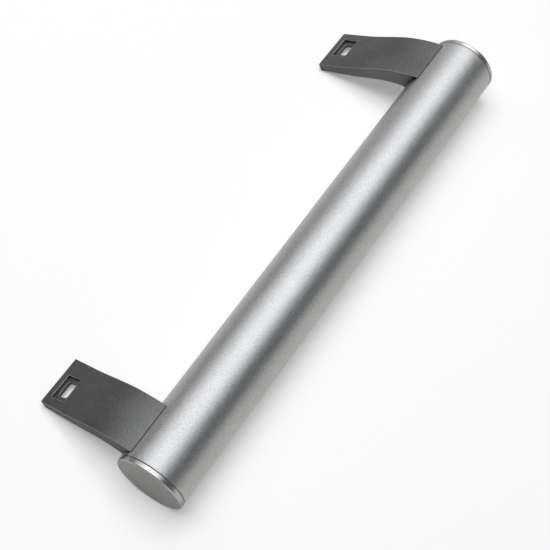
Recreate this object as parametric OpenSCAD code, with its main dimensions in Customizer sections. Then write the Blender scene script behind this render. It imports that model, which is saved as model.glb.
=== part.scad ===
// Tubular door handle: a round grip tube on two curved side arms.
// X runs along the tube, the arms reach out to +Y, and Z is up.
// It lies as it rests on a table: on the underside of the tube and the edges of both arm tips.
// The origin is on the table, under the middle of the bounding box.

/* [Grip tube] */
// Length of the handle over both end caps
handle_len = 286; // [180:1:600]
// Outside diameter of the grip tube
tube_d = 35; // [32:0.5:42]
// Wall thickness of the grip tube
tube_wall = 2; // [1.6:0.1:2.6]
// Inside radius of the two screw channels in the tube
channel_r = 2.1; // [1.9:0.05:2.4]
// Wall thickness of the screw channels
channel_wall = 1.5; // [1.2:0.1:1.8]
// Width of the slit that runs along each screw channel
channel_slit = 1.4; // [1:0.1:2]
// Thickness of the web between each screw channel and the tube's wall
web_t = 2; // [1.6:0.1:3]
// Chamfer on the outside edges where tube and cap meet
joint_chamfer = 0.25; // [0.1:0.05:0.5]

/* [End caps] */
// Length of the cap's rim, beyond the end of the tube
cap_rim = 2.75; // [1.5:0.25:6]
// Rounding of the cap's outer edge
cap_round = 0.7; // [0.3:0.1:1.2]
// Length of the cap's spigot
spigot_len = 9; // [5:0.5:14]
// Wall thickness of the spigot
spigot_wall = 1.6; // [1.2:0.1:2.4]
// Number of grip ribs round the spigot
spigot_ribs = 6; // [4:1:10]
// Radius of each grip rib
rib_r = 0.45; // [0.35:0.05:0.6]

/* [Arm outline] */
// Width of each arm, along the tube
arm_w = 26.5; // [22:0.5:34]
// Distance from the end of the tube to the arm's outer side
arm_inset = 2; // [1:0.25:8]
// Angle by which the arms lean towards each other
arm_lean = 3.5; // [0:0.5:5]
// Height round the tube, in degrees, at which the arm's top face meets it
seat_a = 47; // [42:1:52]
// Slope of the top face where it leaves the tube
root_a = 9; // [5:1:12]
// Slope of the top face halfway along the arm
mid_a = 31; // [29:1:33]
// Slope of the top face of the flat pad at the tip
pad_a = 26; // [23:1:28]
// Radius of the crown between the tube and the middle of the arm
crown_r = 72; // [55:1:80]
// Radius of the dip between the middle of the arm and the pad
dip_r = 65; // [20:1:80]
// Length of the flat pad
pad_len = 16; // [14:0.5:20]
// Thickness of the pad at the tip
tip_t = 4.4; // [4:0.1:5.5]
// Slope of the fixing face under the pad
face_a = 22; // [20:1:24]
// Length of the fixing face
face_len = 20; // [17:0.5:24]
// Slope of the underside behind the fixing face
belly_a = 25; // [24:1:27]
// Radius of the hollow under the arm
belly_r = 53; // [40:1:60]
// Slope of the underside next to the tube
under_a = 8; // [5:1:11]
// Radius of the fillet where the underside runs into the tube
flare_r = 2.3; // [1.5:0.1:3]
// Direction in which the fillet ends, in degrees
flare_end_a = 255; // [245:1:260]

/* [Arm edges] */
// Rounding of the tip's upper edge
tip_round = 0.5; // [0.2:0.1:0.8]
// Rounding of the tip's lower edge
toe_round = 1; // [0.5:0.1:1.4]
// Rounding of the tip's two corners, seen from above
corner_round = 0.8; // [0.6:0.1:2.4]
// Thickness of the lip that the top face keeps over the relief
lip_t = 0.8; // [0.6:0.1:1.2]
// Length of the relief under the lip, on the inner side of the root
relief_len = 5; // [3:0.5:7]
// Depth of the relief, into the side of the arm
relief_depth = 0.8; // [0.4:0.1:1.4]
// Angle round the tube, in degrees, from the lip down to the end of the relief
relief_drop = 9.5; // [7:0.5:12]

/* [Fixing slots] */
// Length of the cover pocket, along the tube
pocket_len = 13.2; // [12:0.1:14]
// Width of the cover pocket
pocket_w = 8.5; // [8:0.1:9]
// Depth of the cover pocket
pocket_depth = 1.4; // [1:0.1:1.6]
// Distance from the tip to the pocket
pocket_tip = 3.8; // [3:0.1:4.4]
// Distance of the pocket's middle from the arm's middle, outwards
pocket_shift = 1.8; // [0:0.1:2.5]
// Rounding of the pocket's corners
pocket_corner = 0.6; // [0.3:0.1:1.2]
// End-to-end length of the screw slot
slot_len = 8.6; // [7:0.1:9]
// Width of the screw slot
slot_w = 5.5; // [4.5:0.1:5.8]
// Rounding of the slot's corners
slot_corner = 1.5; // [0.8:0.1:2.2]
// Thickness of the floor that the screw clamps
floor_t = 1.9; // [1.6:0.1:2.2]
// Length of the recess under the floor, along the tube
recess_len = 17; // [15:0.5:18]
// Width of the recess under the floor
recess_w = 10.5; // [9.5:0.1:11.5]

/* [Arm plug] */
// Wall thickness of the plug inside the tube
plug_wall = 2.4; // [2:0.1:3]
// Thickness of the plug's inner end
plug_end = 3.5; // [2.5:0.5:5]
// Length of the plug beyond the arm, towards the middle of the tube
plug_extra = 5; // [4:0.5:9]
// Distance from the end of the tube to the plug
plug_inset = 0.5; // [0.3:0.1:0.8]
// Thickness of the neck that passes through the tube's wall
neck_t = 3; // [2.4:0.1:4]
// Distance of the neck's ends from the sides of the arm
neck_inset = 0.3; // [0.2:0.1:1]

/* [Screws] */
// Radius of the screw's shank, over the thread
screw_r = 2.05; // [1.8:0.05:2.05]
// Length of the screw under the head
screw_len = 14; // [10:0.5:20]
// Radius of the screw's head
head_r = 3.8; // [3.2:0.1:4]
// Height of the screw's head
head_h = 2.6; // [2:0.1:3]
// Rounding of the edge of the screw's head
head_round = 0.8; // [0.4:0.1:1]
// Length of the tapered end of the screw
screw_point = 2; // [1:0.5:3]
// Width of each bar of the cross recess
cross_w = 0.9; // [0.7:0.1:1.1]
// Depth of the cross recess
cross_depth = 1.5; // [1:0.1:1.8]

/* [Clearances] */
// Gap between the saddle of the arm and the tube
seat_gap = 0.1; // [0.05:0.05:0.3]
// Gap between the plug and the bore of the tube
plug_gap = 0.1; // [0.05:0.05:0.3]
// Gap round the neck in the tube's slot
neck_gap = 0.15; // [0.1:0.05:0.3]
// Gap between the spigot and the bore of the plug
spigot_gap = 0.3; // [0.2:0.05:0.4]
// Gap between the grip ribs and the bore of the plug
rib_gap = 0.05; // [0.03:0.01:0.15]
// Gap between the plug's inner end and the screw channels
channel_gap = 0.2; // [0.1:0.05:0.4]
// Gap between a screw and its hole in the plug
hole_gap = 0.2; // [0.1:0.05:0.4]
// Gap between a screw's head and the bore of the plug
head_gap = 0.3; // [0.2:0.05:0.6]

/* [Hidden] */
$fn = 128;
past = 1;
arc_step = 2;
tube_r = tube_d / 2;
bore_r = tube_r - tube_wall;
tube_end = handle_len / 2 - cap_rim;
channel_out_r = channel_r + channel_wall;
plug_r = bore_r - plug_gap;
plug_bore_r = plug_r - plug_wall;
channel_axis = plug_bore_r - head_gap - head_r;
spigot_r = plug_bore_r - spigot_gap;
rib_axis = plug_bore_r - rib_gap - rib_r;
arm_out = tube_end - arm_inset;
arm_in = arm_out - arm_w;
plug_in = arm_in - plug_extra;
plug_out = tube_end - plug_inset;
wall_face = plug_in + plug_end;
channel_end = plug_in - channel_gap;
seat = tube_r * [cos(seat_a), sin(seat_a)];
neck_a = seat_a - (lip_t + neck_t / 2) / tube_r * 180 / PI;
relief_a = seat_a - relief_drop;

// Unit vector that points down a slope, away from the tube
function down(a) = [cos(a), -sin(a)];
// Unit vector that points up and out from a slope
function up(a) = [sin(a), cos(a)];
// Points of an arc that leaves p with heading a and ends with heading b
function bend(p, a, b, r) =
  let (n = max(3, ceil(abs(b - a) / arc_step)), s = sign(b - a))
  [for (i = [0:n]) let (h = a + (b - a) * i / n) p + s * r * [sin(h) - sin(a), cos(a) - cos(h)]];
function last(list) = list[len(list) - 1];

// The toe of the tip is an arc that touches the table, and the rest of the outline follows from it.
toe_z = toe_round - tube_r;
tip_z = toe_z - toe_round * sin(pad_a) + (tip_t - toe_round) * cos(pad_a);
crown_drop = crown_r * (cos(root_a) - cos(mid_a));
dip_drop = dip_r * (cos(pad_a) - cos(mid_a));
mid_len = (seat.y - tip_z - crown_drop - dip_drop - pad_len * sin(pad_a)) / sin(mid_a);
crown = bend(seat, -root_a, -mid_a, crown_r);
dip = bend(last(crown) + mid_len * down(mid_a), -mid_a, -pad_a, dip_r);
tip = last(dip) + pad_len * down(pad_a);
toe = tip - (tip_t - toe_round) * up(pad_a) - toe_round * down(pad_a);
face_start = toe - toe_round * up(face_a);
belly_start = face_start - face_len * down(face_a);
flare_y = tube_r + flare_r * cos(under_a);
belly_span = belly_r * (sin(belly_a) - sin(under_a));
belly_len = (belly_start.x - flare_y - belly_span) / cos(belly_a);
belly = bend(belly_start - belly_len * down(belly_a), 180 - belly_a, 180 - under_a, belly_r);
flare = bend(last(belly), 180 - under_a, flare_end_a, flare_r);
tip_reach = tip.x - tip_round * (cos(pad_a) + sin(pad_a)) + tip_round;
axis_y = (tube_r - tip_reach) / 2;

arm_outline = concat(
  [[0, seat.y]],
  crown,
  dip,
  bend(tip - tip_round * down(pad_a), -pad_a, -pad_a - 90, tip_round),
  bend(toe + toe_round * down(pad_a), -pad_a - 90, -face_a - 180, toe_round),
  [belly_start],
  belly,
  flare,
  [[0, last(flare).y]]
);

// Places of the arm's inner and outer side, which lean in towards the tip
function side_x(x, y) = x - (y - seat.x) * tan(arm_lean);

module along_x(x0, x1) {
  translate([x0, 0, 0]) rotate([90, 0, 90]) linear_extrude(x1 - x0) children();
}

// Puts a piece that is modelled round the tube's axis where it lies on the table
module placed() {
  translate([0, axis_y, tube_r]) children();
}

module ring(outer, inner) {
  difference() {
    circle(outer);
    circle(inner);
  }
}

module at_screws() {
  for (side = [-1, 1]) translate([0, side * channel_axis]) children();
}

// Radial band that the neck fills and the tube's slot clears
module neck_band(r0, r1, thickness) {
  rotate(neck_a) translate([r0, -thickness / 2]) square([r1 - r0, thickness]);
}

// Two slit channels, each on a web that stands on the tube's wall
module channel_section() {
  web = bore_r + tube_wall / 2 - channel_axis;
  difference() {
    union() {
      at_screws() circle(channel_out_r);
      for (side = [-1, 1]) translate([0, side * (channel_axis + web / 2)]) square([web_t, web], center = true);
    }
    at_screws() circle(channel_r);
    square([channel_slit, 2 * channel_axis], center = true);
  }
}

module tube_slot() {
  along_x(arm_in + neck_inset - neck_gap, tube_end + past)
    neck_band(bore_r - past, tube_r + past, neck_t + 2 * neck_gap);
}

module tube_end_chamfer() {
  rotate([0, 90, 0]) rotate_extrude()
    polygon([
      [tube_r - joint_chamfer, tube_end],
      [tube_r + past, tube_end - joint_chamfer - past],
      [tube_r + past, tube_end]
    ]);
}

module grip_tube() {
  color("silver") placed() difference() {
    union() {
      along_x(-tube_end, tube_end) ring(tube_r, bore_r);
      along_x(-channel_end, channel_end) channel_section();
    }
    for (side = [0, 1]) mirror([side, 0, 0]) {
      tube_slot();
      tube_end_chamfer();
    }
  }
}

module arm_plan() {
  far_y = tip.x + past;
  linear_extrude(4 * tube_r, center = true)
    polygon([
      [side_x(arm_in, 0), 0],
      [side_x(arm_out, 0), 0],
      [side_x(arm_out, far_y), far_y],
      [side_x(arm_in, far_y), far_y]
    ]);
}

// Rounds one corner of the tip: the side of the arm is at x = 0 and the tip at y = 0
module corner_nick() {
  linear_extrude(4 * tip_t, center = true) difference() {
    translate([-corner_round, -corner_round]) square(corner_round + past);
    translate([-corner_round, -corner_round]) circle(corner_round);
  }
}

// Rounded rectangle round the origin
module rounded(length, width, corner) {
  square([length, width - 2 * corner], center = true);
  square([length - 2 * corner, width], center = true);
  for (i = [-1, 1]) for (j = [-1, 1])
    translate([i * (length / 2 - corner), j * (width / 2 - corner)]) circle(corner, $fn = 48);
}

// The pocket is cut from above and the recess from below, and the slot joins them
module pocket_and_slot() {
  pocket_mid = pocket_tip + pocket_w / 2;
  mid_x = side_x((arm_in + arm_out) / 2, tip.x - pocket_mid * cos(pad_a)) + pocket_shift;
  floor_z = -pocket_depth - floor_t;
  translate([mid_x, -pocket_mid, 0]) {
    translate([0, 0, -pocket_depth])
      linear_extrude(pocket_depth + past) rounded(pocket_len, pocket_w, pocket_corner);
    translate([0, 0, floor_z - past])
      linear_extrude(floor_t + 2 * past) rounded(slot_len, slot_w, slot_corner);
    translate([0, 0, floor_z - 2 * tip_t])
      linear_extrude(2 * tip_t) rounded(recess_len, recess_w, pocket_corner);
  }
}

module lip_relief() {
  along_x(arm_in - 2 * relief_depth, arm_in + relief_depth)
    polygon([
      seat - [0, lip_t],
      seat + relief_len * down(root_a) - [0, lip_t],
      tube_r * [cos(relief_a), sin(relief_a)]
    ]);
}

module arm_blade() {
  difference() {
    intersection() {
      along_x(arm_in - arm_w, arm_out + arm_w) difference() {
        polygon(arm_outline);
        circle(tube_r + seat_gap);
      }
      arm_plan();
    }
    translate([0, tip.x, tip.y]) rotate([-pad_a, 0, 0]) {
      pocket_and_slot();
      translate([side_x(arm_out, tip.x), 0, 0]) corner_nick();
      translate([side_x(arm_in, tip.x), 0, 0]) mirror([1, 0, 0]) corner_nick();
    }
    lip_relief();
  }
}

module arm_plug() {
  along_x(plug_in, wall_face) difference() {
    circle(plug_r);
    at_screws() circle(screw_r + hole_gap);
  }
  along_x(wall_face, plug_out) ring(plug_r, plug_bore_r);
}

module arm() {
  color("dimgray") {
    arm_blade();
    along_x(arm_in + neck_inset, arm_out - neck_inset) intersection() {
      neck_band(plug_r - plug_wall / 2, tube_r + lip_t, neck_t);
      polygon(arm_outline);
    }
    arm_plug();
  }
}

// The tab fills the open end of the tube's slot
module cap_tab(x_end, outer) {
  along_x(arm_out - neck_inset + neck_gap, x_end) intersection() {
    neck_band(bore_r, tube_r + past, neck_t);
    circle(outer);
  }
}

module end_cap() {
  color("lightgray") {
    rotate([0, 90, 0]) rotate_extrude()
      polygon(concat(
        [[0, tube_end], [tube_r - joint_chamfer, tube_end], [tube_r, tube_end + joint_chamfer]],
        bend([tube_r, tube_end + cap_rim - cap_round], 90, 180, cap_round),
        [[0, tube_end + cap_rim]]
      ));
    along_x(tube_end - spigot_len, tube_end + cap_rim / 2) {
      ring(spigot_r, spigot_r - spigot_wall);
      for (i = [1:spigot_ribs]) rotate(i * 360 / spigot_ribs) translate([rib_axis, 0]) circle(rib_r, $fn = 24);
    }
    cap_tab(tube_end, tube_r);
    cap_tab(tube_end + cap_rim / 2, tube_r - joint_chamfer);
  }
}

module cross_recess() {
  for (turn = [0, 90]) rotate([turn, 0, 0])
    translate([-cross_depth, -head_r / 2, -cross_w / 2]) cube([cross_depth + past, head_r, cross_w]);
}

// One self-tapping screw along the tube, with its head against the plug's inner end
module screw(side) {
  color("gainsboro") translate([wall_face, 0, side * channel_axis]) difference() {
    rotate([0, 90, 0]) rotate_extrude()
      polygon([
        [0, -screw_len],
        [screw_r / 3, -screw_len],
        [screw_r, -screw_len + screw_point],
        [screw_r, 0],
        [head_r, 0],
        [head_r, head_h - head_round],
        [head_r - head_round, head_h],
        [0, head_h]
      ]);
    translate([head_h, 0, 0]) cross_recess();
  }
}

module right_arm() {
  placed() arm();
}

module left_arm() {
  placed() mirror([1, 0, 0]) arm();
}

module right_end_cap() {
  placed() end_cap();
}

module left_end_cap() {
  placed() mirror([1, 0, 0]) end_cap();
}

module right_screw(side) {
  placed() screw(side);
}

module left_screw(side) {
  placed() mirror([1, 0, 0]) screw(side);
}

grip_tube();
left_arm();
right_arm();
left_end_cap();
right_end_cap();
left_screw(1);  // left_upper_screw
left_screw(-1);  // left_lower_screw
right_screw(1);  // right_upper_screw
right_screw(-1);  // right_lower_screw
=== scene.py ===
"""Looks of the tubular door handle: materials, light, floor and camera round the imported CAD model."""

import math

import bpy
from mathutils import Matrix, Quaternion, Vector

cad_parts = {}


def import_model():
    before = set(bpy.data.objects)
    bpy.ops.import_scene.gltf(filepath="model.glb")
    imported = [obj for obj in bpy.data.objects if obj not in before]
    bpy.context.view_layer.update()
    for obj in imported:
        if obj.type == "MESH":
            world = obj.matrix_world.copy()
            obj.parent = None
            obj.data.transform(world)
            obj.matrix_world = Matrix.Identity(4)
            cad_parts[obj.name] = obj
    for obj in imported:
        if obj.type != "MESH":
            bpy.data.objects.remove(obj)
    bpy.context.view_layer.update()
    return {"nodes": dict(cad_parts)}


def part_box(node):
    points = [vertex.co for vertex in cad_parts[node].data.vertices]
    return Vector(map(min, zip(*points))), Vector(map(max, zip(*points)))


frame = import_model()

# Sizes and places are in metres and angles in degrees, unless a name says otherwise
MM = 0.001
MICRON = 0.000001
WHITE = (1, 1, 1, 1)

# The tube, which the lamps and cards face and the joint lines follow
TUBE_LOW, TUBE_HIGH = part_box("grip_tube")
AXIS = (TUBE_LOW + TUBE_HIGH) / 2
TUBE_END = TUBE_HIGH.x
TUBE_RADIUS = TUBE_HIGH.z - AXIS.z

# Camera, fitted to the photograph: its place, the point of the table that it looks at, and its roll
SENSOR_MM = 36
LENS_MM = 79.957
CAMERA_PLACE = (-0.27195, -0.15705, 0.53603)
CAMERA_TARGET = (-0.014376, -0.008749, 0)
CAMERA_ROLL = 3.98835
CAMERA_NEAR = 0.01

# The table top lies a hair under the handle and glows for the camera. The world fills the shadows
FLOOR_SIZE = 8
FLOOR_DROP = 0.0003
FLOOR_TINT = (0.80, 0.80, 0.797)
FLOOR_GLOW = 0.29
WORLD_FILL = 0.08

# Noise of the fine grain and of the wide clouds on every finish, with the clouds' scale per metre
GRAIN_DETAIL = 2.0
GRAIN_ROUGHNESS = 0.6
CLOUD_SCALE = 45.0
CLOUD_DETAIL = 3.0
CLOUD_ROUGHNESS = 0.5
# The middle stretch of a noise, which is spread over the whole of its effect
NOISE = (0.3, 0.7)
# Half the width of the dark line at an end cap, the width of the one at an arm, and their shade
CAP_SEAM_HALF = 0.0002
ARM_SEAM = 0.0003
SEAM_SHADE = 0.25
# Painted shade in corners: how far a corner darkens its walls, the openness where they are darkest and
# clear, and that shade
CORNER_REACH = 0.005
CORNER_DEEP = 0.40
CORNER_CLEAR = 0.90
PAINTED_CORNER_SHADE = 0.42
# Cosine of the turn of a softened edge where its painted highlight starts, and where it is full
EDGE_FLAT = 0.98
EDGE_TURNED = 0.80
# Openness of a corner, from 0 to 1, where an edge's painted highlight starts, and where it is full
EDGE_SHUT = 0.7
EDGE_OPEN = 1.0
# Rays that measure the openness of a corner and the round of an edge
CORNER_SAMPLES = 8
EDGE_SAMPLES = 8
# Strength of the gloss on what isn't metal in a finish
SPECULAR_LEVEL = 0.2

# Place, size and power in watts of each lamp
LAMPS = {
    "ceiling": ((0.12, 0.15, 2.0), (1.8, 1.6), 35.5),
    "key": ((0.30, 0.50, 0.76), (1.2, 0.32), 0.8),
}

# Studio cards lie along the tube at this distance from its axis, over a stretch of X
CARD_REACH = 0.9
WHOLE = (-0.40, 1.30)
NEAR_HALF = (-0.40, 0.50)
FAR_HALF = (0.50, 1.30)
CARD_COLOUR = (0.983, 1.0, 1.065)
FLAG_COLOUR = (0.72, 1.0, 1.20)
# Start and end angle of each card over the tube, from +Y, its stretch, colour and brightness
CARDS = {
    "back_card": (0, 28, NEAR_HALF, CARD_COLOUR, 0.22),
    "far_back_card": (0, 28, FAR_HALF, CARD_COLOUR, 0.62),
    "back_glow": (28, 45, WHOLE, CARD_COLOUR, 0.95),
    "key_card": (45, 62, NEAR_HALF, CARD_COLOUR, 1.65),
    "far_key_card": (45, 62, FAR_HALF, CARD_COLOUR, 1.15),
    "top_card": (62, 107, WHOLE, CARD_COLOUR, 2.55),
    "front_glow": (107, 121, WHOLE, CARD_COLOUR, 1.4),
    "front_flag": (121, 174, WHOLE, FLAG_COLOUR, 0.10),
}
# Place, target, size, colour and brightness of the card that the near end cap faces
END_CARD = ((-0.80, 0.10, 0.50), AXIS, (1.6, 0.95), CARD_COLOUR, 0.10)


def feed(tree, socket, value):
    """Link an input to the output of another node, or give it a plain value."""
    if isinstance(value, bpy.types.NodeSocket):
        tree.links.new(value, socket)
    else:
        socket.default_value = value


def node(tree, kind, **inputs):
    """A new node with some of its inputs fed. An underscore in a name stands for a space."""
    made = tree.nodes.new(kind)
    for name, value in inputs.items():
        feed(tree, made.inputs[name.replace("_", " ")], value)
    return made


def number(tree, operation, *inputs):
    """The result of a Math node."""
    made = tree.nodes.new("ShaderNodeMath")
    made.operation = operation
    for socket, value in zip(made.inputs, inputs):
        feed(tree, socket, value)
    return made.outputs["Value"]


def vector(tree, operation, *inputs):
    """A Vector Math node."""
    made = tree.nodes.new("ShaderNodeVectorMath")
    made.operation = operation
    for socket, value in zip(made.inputs, inputs):
        feed(tree, socket, value)
    return made


def ramp(tree, value, start, end, low, high):
    """A value whose stretch from start to end becomes one from low to high, and is held beyond."""
    spread = node(tree, "ShaderNodeMapRange", From_Min=start, From_Max=end, To_Min=low, To_Max=high)
    feed(tree, spread.inputs["Value"], value)
    return spread.outputs["Result"]


def noise(tree, place, scale, detail, roughness):
    """A noise fixed to the object, around one half."""
    made = node(tree, "ShaderNodeTexNoise", Scale=scale, Detail=detail, Roughness=roughness)
    feed(tree, made.inputs["Vector"], place)
    return made.outputs["Fac"]


def seen_directly(tree):
    """1 for camera, mirror and glass rays, and 0 for the light that falls on things."""
    rays = node(tree, "ShaderNodeLightPath").outputs
    seen = number(tree, "MAXIMUM", rays["Is Camera Ray"], rays["Is Glossy Ray"])
    return number(tree, "MAXIMUM", rays["Is Transmission Ray"], seen)


def line_shade(tree, value, at, half):
    """1 away from a joint, and dark within its narrow line."""
    inside = number(tree, "COMPARE", value, at, half)
    return ramp(tree, inside, 0.0, 1.0, 1.0, SEAM_SHADE)


def cap_seam(tree, place):
    """Shade of the joints between the tube and its end caps."""
    split = node(tree, "ShaderNodeSeparateXYZ", Vector=place)
    side = number(tree, "ABSOLUTE", split.outputs["X"])
    return line_shade(tree, side, TUBE_END, CAP_SEAM_HALF)


def arm_seam(tree, place):
    """Shade of the joint where an arm lies against the round of the tube."""
    across = vector(tree, "MULTIPLY_ADD", place, (0, 1, 1), -AXIS)
    reach = vector(tree, "LENGTH", across.outputs["Vector"])
    half = ARM_SEAM / 2
    return line_shade(tree, reach.outputs["Value"], TUBE_RADIUS + half, half)


def painted_edge_highlight(tree, normal, openness, gain):
    """1 on the flats, and up to 1 + gain along an open edge, a highlight painted into the colour."""
    face = node(tree, "ShaderNodeNewGeometry")
    along = vector(tree, "DOT_PRODUCT", normal, face.outputs["True Normal"])
    turned = ramp(tree, along.outputs["Value"], EDGE_FLAT, EDGE_TURNED, 0.0, gain)
    open_edge = ramp(tree, openness, EDGE_SHUT, EDGE_OPEN, 0.0, 1.0)
    return number(tree, "ADD", number(tree, "MULTIPLY", turned, open_edge), 1.0)


def metal(name, *, tint, metallic, rough, glance, grain, bump_microns, cloud, edge, seam):
    """A metallic finish with grain, softened edges, dark joints, painted corner shade and painted edge
    highlights.

    glance scales the reflection at a grazing angle. grain is the size of the grain in mm, how far it
    shifts the tint (as a share) and how far it shifts the roughness. cloud is how far the clouds shift
    the tint. edge is the round of the edges in mm and the gain of the highlight painted on them. seam
    is the function that shades the joint lines.
    """
    grain_mm, grain_tint, grain_rough = grain
    edge_mm, edge_gain = edge
    mat = bpy.data.materials.new(name)
    mat.use_nodes = True
    tree = mat.node_tree
    place = node(tree, "ShaderNodeTexCoord").outputs["Object"]
    specks = noise(tree, place, 1 / (grain_mm * MM), GRAIN_DETAIL, GRAIN_ROUGHNESS)
    clouds = noise(tree, place, CLOUD_SCALE, CLOUD_DETAIL, CLOUD_ROUGHNESS)
    corner = node(tree, "ShaderNodeAmbientOcclusion", Distance=CORNER_REACH)
    corner.samples = CORNER_SAMPLES
    openness = corner.outputs["AO"]
    soft = node(tree, "ShaderNodeBevel", Radius=edge_mm * MM)
    soft.samples = EDGE_SAMPLES
    normal = soft.outputs["Normal"]

    shades = (
        ramp(tree, clouds, *NOISE, 1 - cloud, 1 + cloud),
        # Painted shade: the more shut in a corner is, the darker its colour
        ramp(tree, openness, CORNER_DEEP, CORNER_CLEAR, PAINTED_CORNER_SHADE, 1.0),
        seam(tree, place),
        # Painted highlight: open edges get a lighter colour
        painted_edge_highlight(tree, normal, openness, edge_gain),
    )
    level = ramp(tree, specks, *NOISE, 1 - grain_tint, 1 + grain_tint)
    for shade in shades:
        level = number(tree, "MULTIPLY", level, shade)
    paint = vector(tree, "SCALE", tint)
    feed(tree, paint.inputs["Scale"], level)
    relief = node(tree, "ShaderNodeBump", Strength=1.0, Distance=bump_microns * MICRON, Height=specks)
    feed(tree, relief.inputs["Normal"], normal)

    surface = {
        "Base Color": paint.outputs["Vector"],
        "Metallic": metallic,
        "Roughness": ramp(tree, specks, *NOISE, rough - grain_rough, rough + grain_rough),
        "Specular IOR Level": SPECULAR_LEVEL,
        "Specular Tint": (glance, glance, glance, 1),
        "Normal": relief.outputs["Normal"],
    }
    for socket, value in surface.items():
        feed(tree, tree.nodes["Principled BSDF"].inputs[socket], value)
    return mat


def satin_tube():
    """Blasted and anodised aluminium, which sparkles."""
    return metal(
        "satin_tube",
        tint=(0.398, 0.396, 0.380),
        metallic=1.0,
        rough=0.40,
        glance=1.0,
        grain=(0.45, 0.30, 0.09),
        bump_microns=85,
        cloud=0.02,
        edge=(0.2, 0.0),
        seam=cap_seam,
    )


def dark_arm():
    """Dark metallic paint over a casting, with a highlight painted along its open edges."""
    return metal(
        "dark_arm",
        tint=(0.130, 0.132, 0.125),
        metallic=0.62,
        rough=0.33,
        glance=0.3,
        grain=(0.6, 0.22, 0.05),
        bump_microns=24,
        cloud=0.14,
        # A highlight painted into the colour along the open edges, with this gain
        edge=(0.5, 3.2),
        seam=arm_seam,
    )


def silver_cap():
    """Silver paint over a moulding."""
    return metal(
        "silver_cap",
        tint=(0.43, 0.428, 0.40),
        metallic=0.95,
        rough=0.28,
        glance=0.42,
        grain=(0.3, 0.06, 0.03),
        bump_microns=4,
        cloud=0.02,
        edge=(0.3, 0.0),
        seam=cap_seam,
    )


def screw_steel():
    """Bright zinc-plated steel. The end caps hide it."""
    return metal(
        "screw_steel",
        tint=(0.55, 0.55, 0.54),
        metallic=1.0,
        rough=0.3,
        glance=1.0,
        grain=(0.3, 0.05, 0.03),
        bump_microns=2,
        cloud=0.01,
        edge=(0.1, 0.2),
        seam=cap_seam,
    )


# The finish of the nodes whose names end with each word
FINISHES = {"_tube": satin_tube, "_arm": dark_arm, "_cap": silver_cap, "_screw": screw_steel}


def dress():
    """Give every node of the handle its finish."""
    for ending, finish in FINISHES.items():
        mat = finish()
        for name, obj in frame["nodes"].items():
            if name.endswith(ending):
                for slot in obj.material_slots:
                    slot.material = mat


def stage_material(obj):
    """Give a stage piece a material with nothing but its output, and return the material's tree."""
    mat = bpy.data.materials.new(obj.name)
    mat.use_nodes = True
    tree = mat.node_tree
    tree.nodes.remove(tree.nodes["Principled BSDF"])
    obj.data.materials.append(mat)
    return tree


def floor():
    """A white table top. Its glow lights nothing, because only direct and mirror rays see it."""
    bpy.ops.mesh.primitive_plane_add(size=FLOOR_SIZE, location=(0, 0, -FLOOR_DROP))
    plane = bpy.context.object
    plane.name = "floor"
    tree = stage_material(plane)
    diffuse = node(tree, "ShaderNodeBsdfDiffuse", Color=(*FLOOR_TINT, 1))
    level = number(tree, "MULTIPLY", seen_directly(tree), FLOOR_GLOW)
    glow = node(tree, "ShaderNodeEmission", Color=WHITE, Strength=level)
    total = node(tree, "ShaderNodeAddShader")
    feed(tree, total.inputs[0], diffuse.outputs["BSDF"])
    feed(tree, total.inputs[1], glow.outputs["Emission"])
    feed(tree, tree.nodes["Material Output"].inputs["Surface"], total.outputs["Shader"])


def world():
    """Plain white to camera and mirror rays, and a weak fill for the rest."""
    sky = bpy.data.worlds.new("studio")
    bpy.context.scene.world = sky
    sky.use_nodes = True
    tree = sky.node_tree
    background = tree.nodes["Background"]
    feed(tree, background.inputs["Color"], WHITE)
    level = ramp(tree, seen_directly(tree), 0.0, 1.0, WORLD_FILL, 1.0)
    feed(tree, background.inputs["Strength"], level)


def facing(place, target, roll=0.0):
    """The turn that makes a lamp, card or camera look from its place at a target."""
    look = (Vector(target) - Vector(place)).to_track_quat("-Z", "Y")
    return (look @ Quaternion((0, 0, 1), math.radians(roll))).to_euler()


def lamp(name, place, size, power):
    """A soft lamp. The cards stand in for it in reflections."""
    data = bpy.data.lights.new(name, "AREA")
    data.shape = "RECTANGLE"
    data.size, data.size_y = size
    data.energy = power
    obj = bpy.data.objects.new(name, data)
    bpy.context.scene.collection.objects.link(obj)
    obj.location = place
    obj.rotation_euler = facing(place, AXIS)
    obj.visible_glossy = False


def card(name, place, target, size, colour, shade):
    """A plain studio card of one brightness. Only reflections see it."""
    bpy.ops.mesh.primitive_plane_add(size=1, location=place)
    obj = bpy.context.object
    obj.name = name
    obj.scale = (*size, 1)
    obj.rotation_euler = facing(place, target)
    tree = stage_material(obj)
    glow = node(tree, "ShaderNodeEmission", Color=(*colour, 1), Strength=shade)
    feed(tree, tree.nodes["Material Output"].inputs["Surface"], glow.outputs["Emission"])
    obj.visible_camera = False
    obj.visible_diffuse = False
    obj.visible_shadow = False


def card_over_tube(name, start, end, stretch, colour, shade):
    """A long card beside the tube's axis, from one angle round it to another."""
    middle = math.radians((start + end) / 2)
    half = math.radians((end - start) / 2)
    near, far = stretch
    target = AXIS + Vector(((near + far) / 2, 0, 0))
    place = target + CARD_REACH * Vector((0, math.cos(middle), math.sin(middle)))
    card(name, place, target, (far - near, 2 * CARD_REACH * math.tan(half)), colour, shade)


def camera():
    """The camera of the photograph."""
    data = bpy.data.cameras.new("camera")
    data.sensor_width = SENSOR_MM
    data.lens = LENS_MM
    data.clip_start = CAMERA_NEAR
    obj = bpy.data.objects.new("camera", data)
    bpy.context.scene.collection.objects.link(obj)
    obj.location = CAMERA_PLACE
    obj.rotation_euler = facing(CAMERA_PLACE, CAMERA_TARGET, CAMERA_ROLL)
    bpy.context.scene.camera = obj


bpy.context.scene.view_settings.view_transform = "Standard"
dress()
floor()
world()
for name, setting in LAMPS.items():
    lamp(name, *setting)
for name, setting in CARDS.items():
    card_over_tube(name, *setting)
card("end_card", *END_CARD)
camera()
